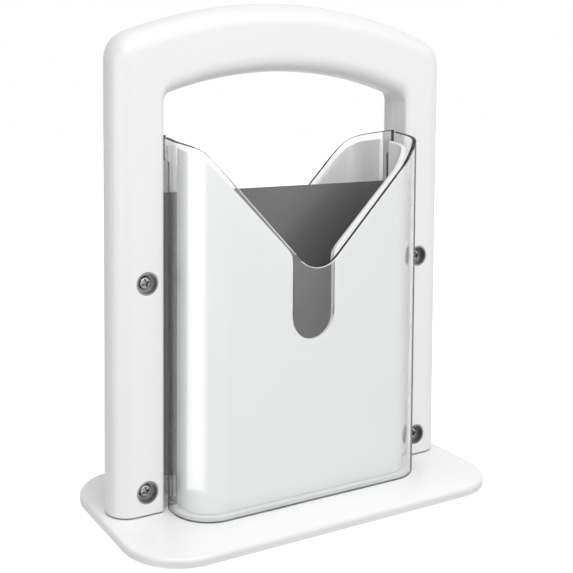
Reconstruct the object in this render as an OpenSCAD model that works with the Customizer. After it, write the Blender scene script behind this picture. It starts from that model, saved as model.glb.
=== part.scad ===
// Bagel slicer of the guillotine kind: a lift-up handle with a blade, running between two nested stands
// Units are millimetres. X is the width, +Y points to the back and +Z points up.
// The origin lies under the middle of the base, on the table that the rubber feet stand on.

/* [Base] */
// Width of the base plate
base_w = 197.2; // [194:0.2:204]
// Depth of the base plate
base_d = 103.2; // [98:0.2:112]
// How far the middle of shields and handle lies behind the middle of the base
stand_back = 4.4; // [0:0.2:6]
// Thickness of the base plate
base_t = 3.8; // [3.6:0.1:5]
// Radius of the four plan corners
base_corner = 27.6; // [22:0.2:32]
// Radius of the rounding along the top edge
base_edge = 1.7; // [0.6:0.1:2]
// Diameter of a rubber foot
foot_d = 14; // [10:1:16]
// How far a foot stands out under the plate
foot_out = 0.8; // [0.6:0.1:1.2]

/* [Clear shields] */
// Width over both side walls
shield_w = 135.2; // [133:0.2:136.4]
// Depth over the front and the rear shield
shield_d = 64.2; // [60:0.2:68]
// Radius of the upright corners
shield_corner = 18.8; // [17:0.2:21]
// Wall thickness
shield_t = 2; // [1.6:0.1:2.4]
// Height of the top edge halfway back, above the table
shield_top = 178; // [172:0.5:182]
// Slope of the mouth's two sides
mouth_angle = 45.8; // [44:0.1:48]
// Height where the mouth's two straight sides would meet
mouth_meet = 110.3; // [106:0.1:114]
// Radius of the bottom of the mouth
mouth_round = 14; // [10:0.5:18]
// Fall of the top edge from there towards the front and the rear, in degrees
top_fall = 7.5; // [4:0.5:9]
// Height of the guide tab beside the blade
tab_h = 11; // [8:0.5:14]
// Gap between the front and the rear guide tabs
tab_gap = 2.2; // [2:0.1:3.6]
// Gap between the shields' side walls under the tabs
side_gap = 9.6; // [8:0.2:16]

/* [White cradle] */
// Space from the outer face of a shield to the outer face of its cradle
cradle_inset = 5.15; // [4.6:0.05:6]
// Wall thickness
cradle_t = 2.4; // [2:0.1:2.8]
// How much lower the cradle's top edge is than the shield's
cradle_drop = 3.8; // [2:0.1:6]
// Slope of the cradle's mouth, which is a little wider than the shield's
cradle_angle = 44.8; // [43:0.1:46]
// Gap that the two cradles leave for the blade
cradle_gap = 6.8; // [5:0.1:8]
// Width of the finger slot
finger_w = 22.8; // [18:0.2:26]
// Height of the finger slot's lowest point, above the table
finger_low = 80.8; // [76:0.2:90]
// Radius where the mouth runs into the finger slot
finger_blend = 12; // [6:0.5:14]
// Depth of the ribs that hold the bagel upright, at their lower end
rib_deep = 6; // [3:0.5:9]

/* [Handle] */
// Width over both legs
handle_w = 189.92; // [189:0.08:194]
// Width of one leg, seen from the front
leg_w = 25; // [24:0.1:25.6]
// Depth of the legs and of the grip
handle_d = 21; // [20:0.2:22]
// Height of the grip's highest point, above the table
handle_top = 241.8; // [236:0.2:250]
// Height of the grip's bar in the middle
grip_h = 33; // [30:0.5:36]
// Radius of the two shoulders
shoulder_r = 14; // [12.5:0.5:18]
// Radius of the two inner corners of the opening
opening_r = 6; // [4:0.5:9]
// Wall thickness of the two moulded halves
handle_t = 2.6; // [2.2:0.1:3]
// Where the two halves meet, behind the middle of the legs
seam_y = 1.9; // [1:0.1:3]
// How far the handle and its blade are lifted
lift = 0; // [0:1:150]

/* [Blade] */
// How far the blade stands in front of the middle of the legs
blade_ahead = 3.6; // [3:0.1:4]
// Thickness of the steel sheet
blade_t = 1; // [0.8:0.1:1.2]
// Height of the blade's straight top edge, above the table
blade_top = 152.3; // [148:0.2:158]
// How far the blade reaches into each leg
tang_w = 13.2; // [12.6:0.2:13.8]
// Rise of the cutting edge from the middle to its ends
edge_rise = 16; // [8:0.5:24]
// Distance between two scallops of the cutting edge
scallop_pitch = 4.4; // [3.6:0.1:6]
// Width of the ground bevel
bevel_w = 5; // [3:0.5:8]

/* [Screws] */
// Distance of the handle screws from the middle
screw_x = 78.5; // [78:0.1:79.5]
// Height of the upper handle screws
screw_up = 112; // [104:0.5:124]
// Height of the lower handle screws
screw_low = 15.6; // [15:0.2:20]
// Diameter of the recess around a handle screw
recess_d = 10.6; // [10:0.1:11]
// Depth of that recess
recess_deep = 5; // [4:0.1:5.4]

/* [Hidden] */
$fn = 96;
hair = 0.01;
base_top = foot_out + base_t;
foot_pocket = 1.4;
foot_x = base_w / 2 - 25;
foot_y = base_d / 2 - 20;
floor_t = 2;
post_x = 46;
post_y = shield_d / 2 - 11.6;
post_d = 8;
cradle_w = shield_w - 2 * cradle_inset;
cradle_d = shield_d - 2 * cradle_inset;
cradle_corner = shield_corner - cradle_inset;
cradle_base = base_top + floor_t;
saddle_r = cradle_w / 2 - cradle_t;
saddle_z = cradle_base + 3.6 + saddle_r;
half_d = handle_d / 2;
leg_out = handle_w / 2;
leg_in = leg_out - leg_w;
rest_gap = 0.1;
leg_low = base_top + rest_gap;
shoulder_x = leg_out - shoulder_r;
shoulder_turn = atan2(117, 44);
crown_r = shoulder_r + shoulder_x * 125 / 44;
crown_in = crown_r - grip_h;
crown_z = handle_top - crown_r;
shoulder_z = crown_z + shoulder_x * 117 / 44;
cross = 0.02;
opening_x = leg_in - opening_r;
opening_z = crown_z + sqrt(pow(crown_in - opening_r + cross, 2) - pow(opening_x, 2));
opening_turn = atan2(opening_z - crown_z, opening_x);
rim_x = leg_out - half_d;
blade_w = 2 * (leg_in + tang_w);
blade_low = base_top - 1;
edge_w = 2 * (leg_in - 2.4);
edge_turn = atan2(edge_rise, edge_w / 2);
groove_w = 3;
groove_deep = 2.2;
washer_t = 0.8;
screw_head_d = 6.4;
sleeve_d = recess_d + 3.8;
blade_y = -blade_ahead;
blade_front = blade_y - blade_t / 2;
blade_rear = blade_y + blade_t / 2;
pin_r = 2;
pin_turn = [78, 90, 102];
leg_ribs = [34, 56, 78, 134, 156, 178];
crown_ribs = [73, 84, 96, 107];
snap_x = [-22, 22];

// A flat plate with round corners whose top edge is rounded; it stands on z = 0.
module rounded_plate(w, d, r, t, edge) {
  for (x = [r - w / 2, w / 2 - r], y = [r - d / 2, d / 2 - r])
    translate([x, y, 0]) rotate_extrude() plate_rim(r, t, edge);
  for (side = [0, 180]) {
    rotate([0, 0, side]) translate([0, d / 2 - r, 0]) rotate([90, 0, 90])
      linear_extrude(w - 2 * r, center = true) plate_rim(r, t, edge);
    rotate([0, 0, side]) translate([r - w / 2, 0, 0]) rotate([90, 0, 180])
      linear_extrude(d - 2 * r, center = true) plate_rim(r, t, edge);
  }
  translate([r - w / 2, r - d / 2, 0]) cube([w - 2 * r, d - 2 * r, t]);
}

// Half section of that plate, from its middle out to its rim.
module plate_rim(r, t, edge) {
  square([r, t - edge]);
  square([r - edge, t]);
  intersection() {
    translate([r - edge, t - edge]) circle(edge);
    square([r, t]);
  }
}

// An upright block with round plan corners.
module round_block(w, d, r, h) {
  translate([-w / 2 + r, -d / 2, 0]) cube([w - 2 * r, d, h]);
  translate([-w / 2, -d / 2 + r, 0]) cube([w, d - 2 * r, h]);
  for (x = [r - w / 2, w / 2 - r], y = [r - d / 2, d / 2 - r])
    translate([x, y, 0]) cylinder(r = r, h = h);
}

// The side view of everything that the mouth takes away. Its upper ends run out into the top edge
// over a curve.
module mouth_profile(drop, turn) {
  bend = 16;
  level = shield_top - drop - (shield_d / 2) * tan(top_fall);
  wide = shield_w / 2 + 30;
  high = shield_top + 40;
  rise = tan(turn);
  low_z = mouth_meet + mouth_round / cos(turn);
  run = bend * tan(turn / 2);
  top_x = (level - mouth_meet) / rise;
  bend_x = top_x + run;
  from_x = top_x - run * cos(turn);
  from_z = level - run * sin(turn);
  translate([0, low_z]) circle(mouth_round);
  polygon([
    [-mouth_round * sin(turn), low_z - mouth_round * cos(turn)],
    [mouth_round * sin(turn), low_z - mouth_round * cos(turn)],
    [from_x, from_z],
    [from_x, high],
    [-from_x, high],
    [-from_x, from_z]
  ]);
  for (side = [0, 1]) mirror([side, 0]) difference() {
    translate([from_x - hair, from_z - 1]) square([wide - from_x, high - from_z + 1]);
    translate([bend_x, level - bend]) circle(bend, $fn = 180);
    translate([from_x - 1, from_z - 3]) square([bend_x - from_x + 1, 3]);
    translate([bend_x, from_z - 3]) square([wide, level - from_z + 3]);
  }
}

// The mouth as a solid to take away, tilted so that the top edge falls towards the front.
module mouth_cut(drop, turn) {
  translate([0, -shield_d / 2, mouth_meet]) rotate([top_fall, 0, 0]) translate([0, -6, -mouth_meet])
    rotate([-90, 0, 0]) mirror([0, 1, 0]) linear_extrude(shield_d / 2 + 24) mouth_profile(drop, turn);
}

// One clear shield, drawn as the front one: a wall that turns both corners, a guide tab at each end and
// a flange below, on which the cradle stands. It reaches up to the blade's plane at the given depth.
module shield(plane) {
  difference() {
    union() {
      difference() {
        translate([0, 0, base_top])
          round_block(shield_w, shield_d, shield_corner, shield_top - base_top + 6);
        translate([0, 0, base_top - 1])
          round_block(shield_w - 2 * shield_t, shield_d - 2 * shield_t, shield_corner - shield_t,
            shield_top - base_top + 9);
      }
      difference() {
        translate([0, 0, base_top]) round_block(shield_w, shield_d, shield_corner, floor_t);
        translate([0, 0, base_top - 1])
          round_block(shield_w - 20, shield_d - 20, shield_corner - 10, floor_t + 2);
      }
      for (x = [-post_x, post_x]) translate([x, -post_y, base_top]) cylinder(d = post_d + 2, h = floor_t);
      for (x = snap_x) translate([x - 5, -shield_d / 2, base_top - 2]) cube([10, shield_t, 2 + hair]);
    }
    translate([-shield_w, plane - tab_gap / 2, 0]) cube([2 * shield_w, shield_d, 2 * shield_top]);
    translate([-shield_w, plane - side_gap / 2, 0]) cube([2 * shield_w, shield_d, shield_top - tab_h]);
    mouth_cut(0, mouth_angle);
    for (x = [-post_x, post_x]) translate([x, -post_y, 0]) cylinder(d = 4, h = 40);
  }
}

// The finger slot, wider where the mouth runs into it.
module finger_profile() {
  half = finger_w / 2;
  rise = tan(cradle_angle);
  corner_z = mouth_meet + half * rise;
  run = finger_blend * tan((90 - cradle_angle) / 2);
  translate([0, finger_low + half]) circle(half);
  translate([-half, finger_low + half]) square([finger_w, corner_z - finger_low - half + 6]);
  for (side = [0, 1]) mirror([side, 0]) difference() {
    polygon([
      [half - 1, corner_z - run],
      [half, corner_z - run],
      [half + run * cos(cradle_angle), corner_z + run * sin(cradle_angle)],
      [half + run * cos(cradle_angle), corner_z + run * sin(cradle_angle) + 1],
      [half - 1, corner_z + run * sin(cradle_angle) + 1]
    ]);
    translate([half + finger_blend, corner_z - run]) circle(finger_blend);
  }
}

// One white cradle, drawn as the front one: a wall inside the shield, a round saddle that the bagel
// rests on, ribs that keep it upright, and the posts for the screws from below.
module cradle(plane) {
  inner_d = cradle_d - 2 * cradle_t;
  difference() {
    union() {
      difference() {
        translate([0, 0, cradle_base]) round_block(cradle_w, cradle_d, cradle_corner, shield_top);
        translate([0, 0, cradle_base - 1])
          round_block(cradle_w - 2 * cradle_t, inner_d, cradle_corner - cradle_t, shield_top + 2);
      }
      intersection() {
        translate([0, 0, cradle_base])
          round_block(cradle_w - 1, cradle_d - 1, cradle_corner - 0.5, saddle_z - cradle_base);
        difference() {
          translate([0, 0, saddle_z]) rotate([90, 0, 0])
            cylinder(r = cradle_w / 2, h = cradle_d, center = true, $fn = 240);
          translate([0, 0, saddle_z]) rotate([90, 0, 0])
            cylinder(r = saddle_r, h = cradle_d + 2, center = true, $fn = 240);
        }
      }
      intersection() {
        translate([0, 0, cradle_base]) round_block(cradle_w - 1, cradle_d - 1, cradle_corner - 0.5, 60);
        translate([0, 0, saddle_z]) rotate([90, 0, 0]) difference() {
          cube([cradle_w, 2 * saddle_z, cradle_d], center = true);
          cylinder(r = saddle_r + 1, h = cradle_d + 2, center = true, $fn = 240);
        }
        union() {
          for (x = [-28, 0, 28]) translate([x - 0.8, -cradle_d, 0]) cube([1.6, cradle_d, 40]);
          for (x = [-post_x, post_x]) {
            translate([x, -post_y, 0]) cylinder(d = post_d, h = 60);
            translate([x - 0.8, -cradle_d / 2, 0]) cube([1.6, cradle_d / 2 - post_y, 24]);
          }
        }
      }
      for (x = [-43, -20, 20, 43]) translate([x - 0.8, 0, 0]) rotate([90, 0, 90]) linear_extrude(1.6)
        polygon([
          [-cradle_d / 2 + cradle_t - 0.5, 106],
          [-cradle_d / 2 + cradle_t + 0.6, 104],
          [-cradle_d / 2 + cradle_t + rib_deep, 34],
          [-cradle_d / 2 + cradle_t + rib_deep, saddle_z - sqrt(pow(saddle_r + 1, 2) - pow(x, 2))],
          [-cradle_d / 2 + cradle_t - 0.5, saddle_z - sqrt(pow(saddle_r + 1, 2) - pow(x, 2))]
        ]);
    }
    translate([-shield_w, plane - cradle_gap / 2, 0]) cube([2 * shield_w, shield_d, 3 * shield_top]);
    mouth_cut(cradle_drop, cradle_angle);
    translate([0, -cradle_d / 2 - 2, 0]) rotate([-90, 0, 0]) mirror([0, 1, 0])
      linear_extrude(cradle_t + 4) finger_profile();
    for (x = [-post_x, post_x]) translate([x, -post_y, 0]) cylinder(d = 3.5, h = cradle_base + 12);
  }
}

// Keeps the part of a section that lies between two depths.
module between(from_y, to_y) {
  intersection() {
    children();
    translate([-1, from_y]) square([2 * crown_r, to_y - from_y]);
  }
}

// Section of the handle, round on its outer side and flat up to there from the given inner edge.
module bar_section(from, to, k) {
  intersection() {
    union() {
      translate([to - half_d, 0]) circle(half_d - k);
      translate([from, k - half_d]) square([to - half_d - from, 2 * (half_d - k)]);
    }
    translate([from, -half_d]) square([to - from, handle_d]);
  }
}

// The opening that the stand and the hands go into, seen from the front and grown by k.
module opening_profile(k) {
  far = 2 * (opening_r + k);
  translate([-leg_in - k, -1]) square([2 * (leg_in + k), opening_z + 1]);
  for (x = [-opening_x, opening_x]) translate([x, opening_z]) circle(opening_r + k);
  intersection() {
    translate([0, crown_z]) circle(crown_in + k, $fn = 480);
    polygon([
      [-opening_x, opening_z - 1],
      [opening_x, opening_z - 1],
      [opening_x + far * cos(opening_turn), opening_z + far * sin(opening_turn)],
      [-opening_x - far * cos(opening_turn), opening_z + far * sin(opening_turn)]
    ]);
  }
}

// The handle's form between two depths, shrunk all round by k: legs, rounded shoulders and crowned
// grip, less the opening. Each swept piece ends on a plane through the axis of the next one.
module handle_form(k, from_y, to_y) {
  difference() {
    for (side = [0, 1]) mirror([side, 0, 0]) {
      translate([0, 0, leg_low + k]) linear_extrude(shoulder_z - leg_low - k)
        between(from_y, to_y) bar_section(leg_in - 1, leg_out, k);
      translate([shoulder_x, 0, shoulder_z]) intersection() {
        rotate([-90, -shoulder_turn, 0]) rotate_extrude(angle = shoulder_turn + 10)
          between(from_y, to_y) bar_section(0, shoulder_r, k);
        translate([-8, -handle_d, 0]) cube([shoulder_r + 10, 2 * handle_d, shoulder_r + 10]);
      }
      intersection() {
        translate([0, 0, crown_z]) rotate([90, -shoulder_turn, 0]) rotate_extrude(angle = 25, $fn = 480)
          between(-to_y, -from_y) bar_section(crown_in - 20, crown_r, k);
        translate([0, -handle_d, 0]) cube([2 * leg_out, 2 * handle_d, 2 * handle_top]);
      }
    }
    translate([0, handle_d, 0]) rotate([90, 0, 0]) linear_extrude(2 * handle_d) opening_profile(k);
  }
}

// Places a child on each of the four handle screws' axes.
module at_screws() {
  for (x = [-screw_x, screw_x], z = [screw_low, screw_up]) translate([x, 0, z]) children();
}

// Places a child on each of the locating pins' axes, along the middle of the grip.
module at_pins() {
  mid = crown_r - grip_h / 2;
  for (a = pin_turn) translate([mid * cos(a), 0, crown_z + mid * sin(a)]) children();
}

// Stiffening ribs inside one half: across the legs and across the grip.
module handle_ribs(from_y, to_y, grip_from, grip_to) {
  for (side = [0, 1], z = leg_ribs) mirror([side, 0, 0]) translate([0, 0, z]) linear_extrude(1.8)
    between(from_y, to_y) bar_section(leg_in + 2, leg_out, handle_t - 0.6);
  for (a = crown_ribs) translate([0, 0, crown_z]) rotate([0, -a, 0]) linear_extrude(1.8, center = true)
    between(grip_from, grip_to) bar_section(crown_in + 2, crown_r, handle_t - 0.6);
}

// Moves a child from Y = 0, where the stand and the handle are drawn, to their place over the base.
module at_middle() {
  translate([0, stand_back, 0]) children();
}

module base_plate() color([0.95, 0.95, 0.94]) difference() {
  translate([0, 0, foot_out]) rounded_plate(base_w, base_d, base_corner, base_t, base_edge);
  for (x = [-foot_x, foot_x], y = [-foot_y, foot_y])
    translate([x, y, foot_out - 1]) cylinder(d = foot_d + 0.1, h = 1 + foot_pocket);
  at_middle() {
    translate([-edge_w / 2 - 2, blade_y - groove_w / 2, base_top - groove_deep])
      cube([edge_w + 4, groove_w, groove_deep + 1]);
    for (x = [-post_x, post_x], y = [-post_y, post_y]) translate([x, y, 0]) {
      cylinder(d = 3.5, h = 10);
      translate([0, 0, foot_out + 0.3 - hair]) cylinder(d1 = 7, d2 = 3.5, h = 1.75);
      cylinder(d = 7, h = foot_out + 0.3);
    }
    for (x = snap_x, side = [-1, 1])
      translate([x, side * (shield_d / 2 - shield_t / 2), base_top - 1.1])
        cube([10.2, shield_t + 0.2, 2.4], center = true);
  }
}

module rubber_foot(x, y) color([0.12, 0.12, 0.12]) translate([x, y, 0]) rotate_extrude()
  polygon([
    [0, 0],
    [foot_d / 2 - 0.4, 0],
    [foot_d / 2, 0.4],
    [foot_d / 2, foot_out + foot_pocket],
    [0, foot_out + foot_pocket]
  ]);

module foot_front_left() rubber_foot(-foot_x, -foot_y);
module foot_front_right() rubber_foot(foot_x, -foot_y);
module foot_rear_left() rubber_foot(-foot_x, foot_y);
module foot_rear_right() rubber_foot(foot_x, foot_y);

module front_shield() color([0.85, 0.92, 0.95, 0.35]) at_middle() shield(blade_y);
module rear_shield() color([0.85, 0.92, 0.95, 0.35]) at_middle() mirror([0, 1, 0]) shield(-blade_y);
module front_cradle() color([0.94, 0.94, 0.93]) at_middle() cradle(blade_y);
module rear_cradle() color([0.94, 0.94, 0.93]) at_middle() mirror([0, 1, 0]) cradle(-blade_y);

// A countersunk tapping screw that comes up from below into a cradle's post.
module stand_screw(x, y) color([0.62, 0.63, 0.65])
  translate([x, y + stand_back, foot_out + 0.3]) difference() {
    union() {
      cylinder(d1 = 6.8, d2 = 3.3, h = 1.75);
      cylinder(d = 3.3, h = 15);
      translate([0, 0, 15]) cylinder(d1 = 3.3, d2 = 1, h = 1.8);
    }
    for (a = [0, 90]) rotate([0, 0, a]) translate([-1.8, -0.4, -1]) cube([3.6, 0.8, 2.1]);
  }

module stand_screw_front_left() stand_screw(-post_x, -post_y);
module stand_screw_front_right() stand_screw(post_x, -post_y);
module stand_screw_rear_left() stand_screw(-post_x, post_y);
module stand_screw_rear_right() stand_screw(post_x, post_y);

// The place in each leg's inner wall where the blade's side runs in, between two depths.
module blade_way(from_y, to_y, before, behind) {
  for (side = [0, 1]) mirror([side, 0, 0]) translate([leg_in - before, from_y, screw_low - 7])
    cube([handle_t + before + behind, to_y - from_y, blade_top - screw_low + 7]);
}

// The front half holds the blade against its screw sleeves. A slot in each inner wall lets it in.
module handle_front_half() color([0.95, 0.95, 0.94]) translate([0, stand_back, lift]) difference() {
  union() {
    difference() {
      handle_form(0, -half_d, seam_y);
      handle_form(handle_t, handle_t - half_d, seam_y + 1);
    }
    handle_ribs(-half_d + 1, blade_front, -half_d + 1, seam_y - 1);
    at_screws() translate([0, blade_front, 0]) rotate([90, 0, 0])
      cylinder(d = sleeve_d, h = half_d + blade_front - 1);
    at_pins() translate([0, seam_y + 5, 0]) rotate([90, 0, 0]) cylinder(r = pin_r, h = 8);
    at_pins() translate([0, seam_y, 0]) rotate([90, 0, 0])
      cylinder(r = pin_r + 1.5, h = half_d + seam_y - 1);
  }
  blade_way(blade_front - 0.2, seam_y + 1, 1, 0.3);
  at_screws() rotate([90, 0, 0]) {
    translate([0, 0, half_d - recess_deep]) cylinder(d = recess_d, h = recess_deep + 1);
    cylinder(d = 4.4, h = half_d);
  }
}

// The rear half closes those slots with two tongues and presses its screw bosses on the blade.
module handle_rear_half() color([0.95, 0.95, 0.94]) translate([0, stand_back, lift]) difference() {
  union() {
    difference() {
      handle_form(0, seam_y, half_d);
      handle_form(handle_t, seam_y - 1, half_d - handle_t);
    }
    blade_way(blade_rear, seam_y + 1, 0, 0);
    handle_ribs(seam_y, half_d - 1, seam_y, half_d - 1);
    at_screws() translate([0, half_d - 1, 0]) rotate([90, 0, 0])
      cylinder(d = 10, h = half_d - 1 - blade_rear);
    at_pins() translate([0, half_d - 1, 0]) rotate([90, 0, 0])
      cylinder(r = pin_r + 2, h = half_d - 1 - seam_y);
  }
  at_screws() translate([0, half_d - 2, 0]) rotate([90, 0, 0]) cylinder(d = 4, h = half_d - blade_rear);
  at_pins() translate([0, seam_y + 5.4, 0]) rotate([90, 0, 0]) cylinder(r = pin_r + 0.05, h = 6);
}

// The blade seen from the front, with the two tangs that the handle clamps.
module blade_outline() {
  end_z = blade_low + edge_rise;
  difference() {
    polygon([
      [-blade_w / 2, screw_low - 7],
      [-edge_w / 2 - 1.6, screw_low - 7],
      [-edge_w / 2, end_z],
      [0, blade_low],
      [edge_w / 2, end_z],
      [edge_w / 2 + 1.6, screw_low - 7],
      [blade_w / 2, screw_low - 7],
      [blade_w / 2, blade_top],
      [-blade_w / 2, blade_top]
    ]);
    for (x = [-screw_x, screw_x], z = [screw_low, screw_up]) translate([x, z]) circle(2.2);
    for (side = [0, 1]) mirror([side, 0]) translate([0, blade_low]) rotate(edge_turn)
      for (i = [1 : floor((edge_w / 2 - 5) / scallop_pitch)])
        translate([(i - 0.5) * scallop_pitch + 1, -1.4]) circle(2.5, $fn = 40);
  }
}

module blade() color([0.34, 0.35, 0.36]) translate([0, stand_back + blade_y, lift]) difference() {
  rotate([90, 0, 0]) linear_extrude(blade_t, center = true) blade_outline();
  for (side = [0, 1]) mirror([side, 0, 0]) translate([0, 0, blade_low]) rotate([0, -edge_turn, 0])
    translate([-2, 0, 0]) rotate([90, 0, 90]) linear_extrude(edge_w / 2 / cos(edge_turn) - 1)
      polygon([
        [-blade_t / 2 - 1, bevel_w],
        [-blade_t / 2, bevel_w],
        [blade_t / 2 - 0.2, -0.4],
        [blade_t / 2 - 0.2, -3],
        [-blade_t / 2 - 1, -3]
      ]);
}

// A pan-head screw with a cross recess, seen from the front at the bottom of its recess.
module handle_screw(x, z) color([0.55, 0.56, 0.58])
  translate([x, stand_back + recess_deep - half_d - washer_t, z + lift]) rotate([90, 0, 0]) difference() {
    union() {
      intersection() {
        cylinder(d = screw_head_d, h = 2.2);
        translate([0, 0, 2.2 - 5]) sphere(5);
      }
      translate([0, 0, -13.4]) cylinder(d = 3.9, h = 13.6);
      translate([0, 0, -14.4]) cylinder(d1 = 1.6, d2 = 3.9, h = 1);
    }
    for (a = [20, 110]) rotate([0, 0, a]) translate([-2, -0.45, 0.8]) cube([4, 0.9, 3]);
  }

module handle_screw_upper_left() handle_screw(-screw_x, screw_up);
module handle_screw_upper_right() handle_screw(screw_x, screw_up);
module handle_screw_lower_left() handle_screw(-screw_x, screw_low);
module handle_screw_lower_right() handle_screw(screw_x, screw_low);

// A cup washer: a disc under the screw's head with a wall that lines the recess.
module washer(x, z) color([0.42, 0.43, 0.44])
  translate([x, stand_back + recess_deep - half_d, z + lift]) rotate([90, 0, 0]) rotate_extrude()
    polygon([
      [2.05, 0],
      [recess_d / 2 - 0.1, 0],
      [recess_d / 2 - 0.1, recess_deep - 0.3],
      [recess_d / 2 - 0.7, recess_deep - 0.3],
      [recess_d / 2 - 0.7, washer_t],
      [2.05, washer_t]
    ]);

module washer_upper_left() washer(-screw_x, screw_up);
module washer_upper_right() washer(screw_x, screw_up);
module washer_lower_left() washer(-screw_x, screw_low);
module washer_lower_right() washer(screw_x, screw_low);

base_plate();
foot_front_left();
foot_front_right();
foot_rear_left();
foot_rear_right();
front_shield();
rear_shield();
front_cradle();
rear_cradle();
stand_screw_front_left();
stand_screw_front_right();
stand_screw_rear_left();
stand_screw_rear_right();
handle_front_half();
handle_rear_half();
blade();
handle_screw_upper_left();
handle_screw_upper_right();
handle_screw_lower_left();
handle_screw_lower_right();
washer_upper_left();
washer_upper_right();
washer_lower_left();
washer_lower_right();
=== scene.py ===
"""A guillotine bagel slicer: clear shields, white cradles, an arched handle and a coated blade."""

import math

import bmesh
import bpy
import numpy as np
from bpy.props import FloatProperty, FloatVectorProperty, PointerProperty
from mathutils import Matrix, Vector


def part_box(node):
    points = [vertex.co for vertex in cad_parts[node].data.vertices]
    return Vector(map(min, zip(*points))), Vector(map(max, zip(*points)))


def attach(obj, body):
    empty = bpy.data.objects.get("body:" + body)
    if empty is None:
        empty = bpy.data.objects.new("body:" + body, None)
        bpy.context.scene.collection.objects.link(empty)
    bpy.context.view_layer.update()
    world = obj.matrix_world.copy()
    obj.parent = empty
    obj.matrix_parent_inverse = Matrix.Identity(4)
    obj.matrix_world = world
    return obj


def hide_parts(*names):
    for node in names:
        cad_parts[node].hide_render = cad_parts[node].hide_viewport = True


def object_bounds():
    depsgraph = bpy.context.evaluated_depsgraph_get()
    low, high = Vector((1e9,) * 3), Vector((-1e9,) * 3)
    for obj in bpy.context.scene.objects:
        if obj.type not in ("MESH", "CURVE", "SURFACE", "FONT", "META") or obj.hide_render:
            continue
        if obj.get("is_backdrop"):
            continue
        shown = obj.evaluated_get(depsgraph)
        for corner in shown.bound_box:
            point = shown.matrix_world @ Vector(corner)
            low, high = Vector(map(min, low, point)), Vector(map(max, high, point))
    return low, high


bl_info = {
    "name": "Bagel Slicer",
    "version": (1, 0, 0),
    "blender": (4, 5, 0),
    "location": "View3D > Sidebar > Slicer",
    "description": "Makes the shields, cradles, handle, screws and finishes of a bagel slicer",
    "category": "Add Mesh",
}

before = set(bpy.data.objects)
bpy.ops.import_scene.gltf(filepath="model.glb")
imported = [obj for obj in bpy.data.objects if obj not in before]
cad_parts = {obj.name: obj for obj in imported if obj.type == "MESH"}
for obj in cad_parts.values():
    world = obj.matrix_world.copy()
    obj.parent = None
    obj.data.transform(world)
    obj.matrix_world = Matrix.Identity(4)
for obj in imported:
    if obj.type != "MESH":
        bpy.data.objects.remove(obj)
cad_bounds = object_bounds()

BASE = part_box("base_plate")
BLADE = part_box("blade")
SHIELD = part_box("front_shield")
REAR_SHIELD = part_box("rear_shield")
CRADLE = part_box("front_cradle")
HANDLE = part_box("handle_rear_half")
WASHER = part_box("washer_upper_right")
LOW_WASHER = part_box("washer_lower_right")

MM = 0.001
# A gap that keeps two faces from lying in one plane
HAIR = 0.02 * MM
# Points closer than this are one point
MERGE = 0.0001 * MM
# Edges that bend more than this look sharp
SHARP = math.radians(40)
HANDLE_SHARP = math.radians(32)
# Edges of a wall that bend more than this are rounded
RIM_BEND = math.radians(50)
# What stands on the base has its middle here, and the blade hangs so far in front of it
MIDDLE_Y = (SHIELD[0].y + REAR_SHIELD[1].y) / 2
BLADE_AHEAD = MIDDLE_Y - (BLADE[0].y + BLADE[1].y) / 2
BASE_TOP = BASE[1].z
SIDES = ((-1, "left"), (1, "right"))

# Where the holding ribs stand, from the middle
RIB_PLACES = (-43 * MM, -20 * MM, 20 * MM, 43 * MM)
# How far saddles and ribs are sunk into the wall that carries them
SINK = 0.4 * MM
RIB_FOOT_SINK = 0.6 * MM

# The right triangle whose long side points from the centre of the grip's arc to a shoulder's centre
ARCH_ACROSS, ARCH_UP, ARCH_SLANT = 44, 117, 125
# How many sections lie on the rounded end of a leg, up the leg, round the shoulder and over half the grip
END_STEPS, LEG_STEPS, SHOULDER_STEPS, GRIP_STEPS = 6, 12, 24, 30

# A shield's material slots after the first one, which is its outer face's: the rim with painted shade, the
# inner face, and the places with painted light
RIM_SLOT, INNER_SLOT, PAINTED_LIGHT_SLOT = 1, 2, 3

# Where most lamps look, and the lamps: name, setting of the power, place, aim, width and height
LAMP_AIM = (0, 0, 0.11)
LAMPS = (
    ("key_lamp", "key", (0.62, -1.0, 0.95), LAMP_AIM, (0.9, 0.9)),
    ("fill_lamp", "fill", (-0.5, -1.0, 0.95), LAMP_AIM, (0.9, 0.9)),
    ("plate_lamp", "plate", (-0.1, -0.3, 1.45), (0, 0, 0), (1.1, 1.1)),
    ("side_lamp", "side", (-1.04, -0.6, -0.12), LAMP_AIM, (1.45, 1.25)),
    ("top_lamp", "top", (0, -0.5, 1.4), LAMP_AIM, (0.9, 0.9)),
)
# Share of the soft box's width over which its light fades out
SIDE_FADE = 0.5


# Sizes and colours that a user would change


def length(name, text, value):
    return FloatProperty(
        name=name, description=text, default=value, subtype="DISTANCE", unit="LENGTH", precision=5,
    )


def angle(name, text, degrees):
    return FloatProperty(
        name=name, description=text, default=math.radians(degrees), subtype="ANGLE", unit="ROTATION",
    )


def colour(name, text, value):
    return FloatVectorProperty(
        name=name, description=text, default=value, size=3, min=0, max=1, subtype="COLOR",
    )


def power(name, text, value):
    return FloatProperty(name=name, description=text, default=value, min=0, unit="POWER")


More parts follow.
